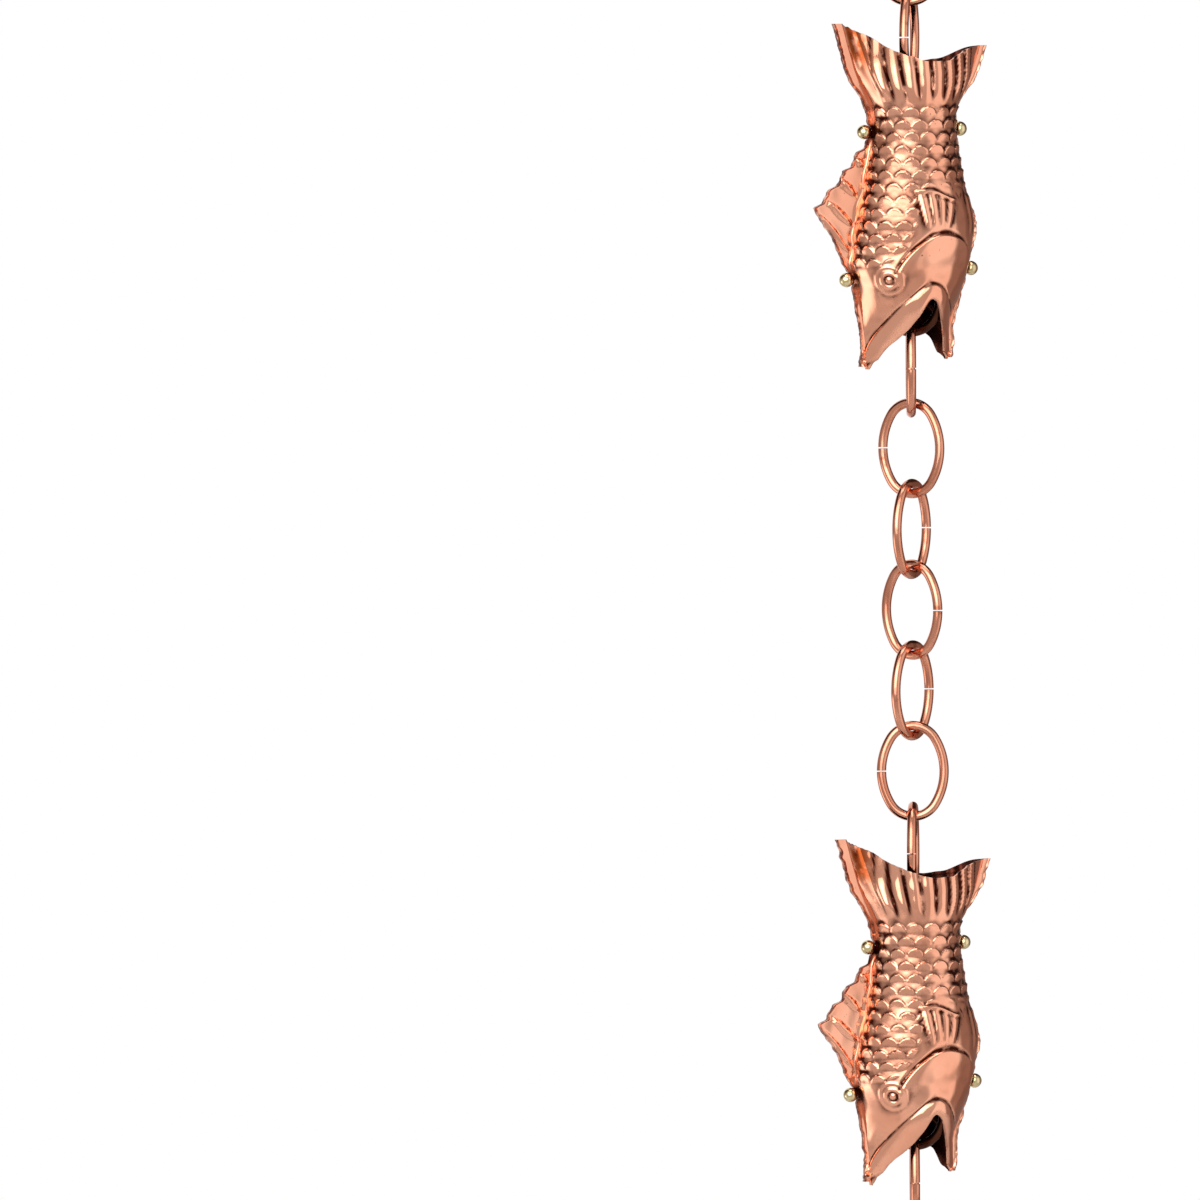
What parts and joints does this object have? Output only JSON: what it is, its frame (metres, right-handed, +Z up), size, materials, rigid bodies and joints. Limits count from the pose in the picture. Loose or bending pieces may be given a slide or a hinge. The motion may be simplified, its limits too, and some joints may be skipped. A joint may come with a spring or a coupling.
{
  "type": "rain chain",
  "caption": "Copper rain chain: head-down embossed fish cups of seamed half shells on brass cross pins, hung between oval wire links, leading gutter water from tail to mouth.",
  "frame": {"origin": "inside of the hanging ring's crown, where the gutter hook bears", "axes": "+Z up along the chain; X from a fish's back (-X) to its belly (+X); near flanks on the -Y side"},
  "size_m": [0.0968, 0.0564, 0.6991],
  "materials": {
    "copper_sheet": "polished copper sheet, embossed",
    "copper_wire": "drawn copper wire, lightly browned",
    "brass": "polished brass"
  },
  "bodies": {
    "hanging_ring": {"hanging_ring": "copper_wire"},
    "tail_link_1": {"tail_link_1": "copper_wire"},
    "upper_ring_1": {"upper_ring_1": "copper_wire"},
    "fish_1": {"fish_1_near_half": "copper_sheet", "fish_1_far_half": "copper_sheet", "fish_1_upper_pin": "brass", "fish_1_upper_back_nut": "brass", "fish_1_upper_belly_nut": "brass", "fish_1_lower_pin": "brass", "fish_1_lower_back_nut": "brass", "fish_1_lower_belly_nut": "brass"},
    "lower_ring_1": {"lower_ring_1": "copper_wire"},
    "mouth_link_1": {"mouth_link_1": "copper_wire"},
    "chain_link_1": {"chain_link_1": "copper_wire"},
    "chain_link_2": {"chain_link_2": "copper_wire"},
    "chain_link_3": {"chain_link_3": "copper_wire"},
    "chain_link_4": {"chain_link_4": "copper_wire"},
    "chain_link_5": {"chain_link_5": "copper_wire"},
    "tail_link_2": {"tail_link_2": "copper_wire"},
    "upper_ring_2": {"upper_ring_2": "copper_wire"},
    "fish_2": {"fish_2_near_half": "copper_sheet", "fish_2_far_half": "copper_sheet", "fish_2_upper_pin": "brass", "fish_2_upper_back_nut": "brass", "fish_2_upper_belly_nut": "brass", "fish_2_lower_pin": "brass", "fish_2_lower_back_nut": "brass", "fish_2_lower_belly_nut": "brass"},
    "lower_ring_2": {"lower_ring_2": "copper_wire"},
    "mouth_link_2": {"mouth_link_2": "copper_wire"}
  },
  "joints": [
    {"name": "tail_link_1_swing", "type": "hinge", "parent": "hanging_ring", "child": "tail_link_1", "pos_m": [0, 0, -0.0454], "axis": [0.9272, -0.3746, 0], "range_deg": [-30, 30]},
    {"name": "upper_ring_1_swing", "type": "hinge", "parent": "tail_link_1", "child": "upper_ring_1", "pos_m": [0, 0, -0.088], "axis": [-0.5446, -0.8387, 0], "range_deg": [-15, 15]},
    {"name": "fish_1_swing", "type": "hinge", "parent": "upper_ring_1", "child": "fish_1", "pos_m": [0, 0, -0.1133], "axis": [1, 0, 0], "range_deg": [-4, 4]},
    {"name": "lower_ring_1_swing", "type": "hinge", "parent": "fish_1", "child": "lower_ring_1", "pos_m": [0, 0, -0.1888], "axis": [1, 0, 0], "range_deg": [-8, 8]},
    {"name": "mouth_link_1_swing", "type": "hinge", "parent": "lower_ring_1", "child": "mouth_link_1", "pos_m": [0, 0, -0.2194], "axis": [0.6157, -0.788, 0], "range_deg": [-18, 18]},
    {"name": "chain_link_1_swing", "type": "hinge", "parent": "mouth_link_1", "child": "chain_link_1", "pos_m": [0, 0, -0.262], "axis": [0.3746, 0.9272, 0], "range_deg": [-30, 30]},
    {"name": "chain_link_2_swing", "type": "hinge", "parent": "chain_link_1", "child": "chain_link_2", "pos_m": [0, 0, -0.3046], "axis": [0.6691, -0.7431, 0], "range_deg": [-30, 30]},
    {"name": "chain_link_3_swing", "type": "hinge", "parent": "chain_link_2", "child": "chain_link_3", "pos_m": [0, 0, -0.3472], "axis": [0.7771, 0.6293, 0], "range_deg": [-30, 30]},
    {"name": "chain_link_4_swing", "type": "hinge", "parent": "chain_link_3", "child": "chain_link_4", "pos_m": [0, 0, -0.3898], "axis": [0.5299, -0.848, 0], "range_deg": [-30, 30]},
    {"name": "chain_link_5_swing", "type": "hinge", "parent": "chain_link_4", "child": "chain_link_5", "pos_m": [0, 0, -0.4324], "axis": [0.8192, 0.5736, 0], "range_deg": [-30, 30]},
    {"name": "tail_link_2_swing", "type": "hinge", "parent": "chain_link_5", "child": "tail_link_2", "pos_m": [0, 0, -0.475], "axis": [0.9272, -0.3746, 0], "range_deg": [-30, 30]},
    {"name": "upper_ring_2_swing", "type": "hinge", "parent": "tail_link_2", "child": "upper_ring_2", "pos_m": [0, 0, -0.5176], "axis": [-0.4384, -0.8988, 0], "range_deg": [-15, 15]},
    {"name": "fish_2_swing", "type": "hinge", "parent": "upper_ring_2", "child": "fish_2", "pos_m": [0, 0, -0.5429], "axis": [1, 0, 0], "range_deg": [-4, 4]},
    {"name": "lower_ring_2_swing", "type": "hinge", "parent": "fish_2", "child": "lower_ring_2", "pos_m": [0, 0, -0.6184], "axis": [1, 0, 0], "range_deg": [-8, 8]},
    {"name": "mouth_link_2_swing", "type": "hinge", "parent": "lower_ring_2", "child": "mouth_link_2", "pos_m": [0, 0, -0.649], "axis": [0.6157, -0.788, 0], "range_deg": [-18, 18]}
  ]
}
